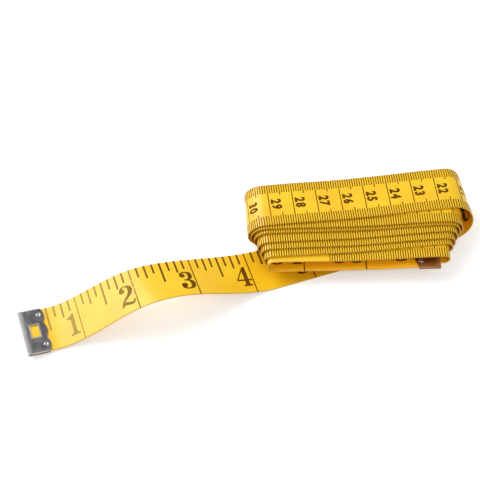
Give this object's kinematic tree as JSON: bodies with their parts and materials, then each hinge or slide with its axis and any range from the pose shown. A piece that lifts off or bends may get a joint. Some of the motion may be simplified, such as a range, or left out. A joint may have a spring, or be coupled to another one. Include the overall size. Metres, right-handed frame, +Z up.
{
  "type": "cloth tape measure",
  "caption": "Flexible cloth measuring tape wound into a flat hank, its free end drawn out along the table, with a folded metal clip riveted to each end.",
  "frame": {"origin": "middle of the part's footprint box, on the table that it lies on", "axes": "+X along the hank's long side, from the drawn-out end towards the hank; +Y away from the viewer; +Z up"},
  "size_m": [0.1872, 0.0818, 0.0165],
  "materials": {
    "tape_cloth": "vinyl coated woven glass cloth, satin",
    "clip_metal": "dark gunmetal plated sheet steel",
    "rivet_metal": "bright nickel plated"
  },
  "bodies": {
    "hank": {"wound_tape": "tape_cloth", "inner_end_clip": "clip_metal", "inner_near_rivet": "rivet_metal", "inner_far_rivet": "rivet_metal"},
    "lead": {"free_tape_lead": "tape_cloth"},
    "tip": {"free_tape_tip": "tape_cloth", "outer_end_clip": "clip_metal", "outer_near_rivet": "rivet_metal", "outer_far_rivet": "rivet_metal"}
  },
  "joints": [
    {"name": "lead_lift", "type": "hinge", "parent": "hank", "child": "lead", "pos_m": [-0.00895, -0.00458, 0.00473], "axis": [-0.3089, 0.9451, -0.1063], "range_deg": [0, 75]},
    {"name": "tip_curl", "type": "hinge", "parent": "lead", "child": "tip", "pos_m": [-0.04019, -0.01477, 0.01425], "axis": [-0.3065, 0.9378, -0.1632], "range_deg": [0, 110]}
  ]
}
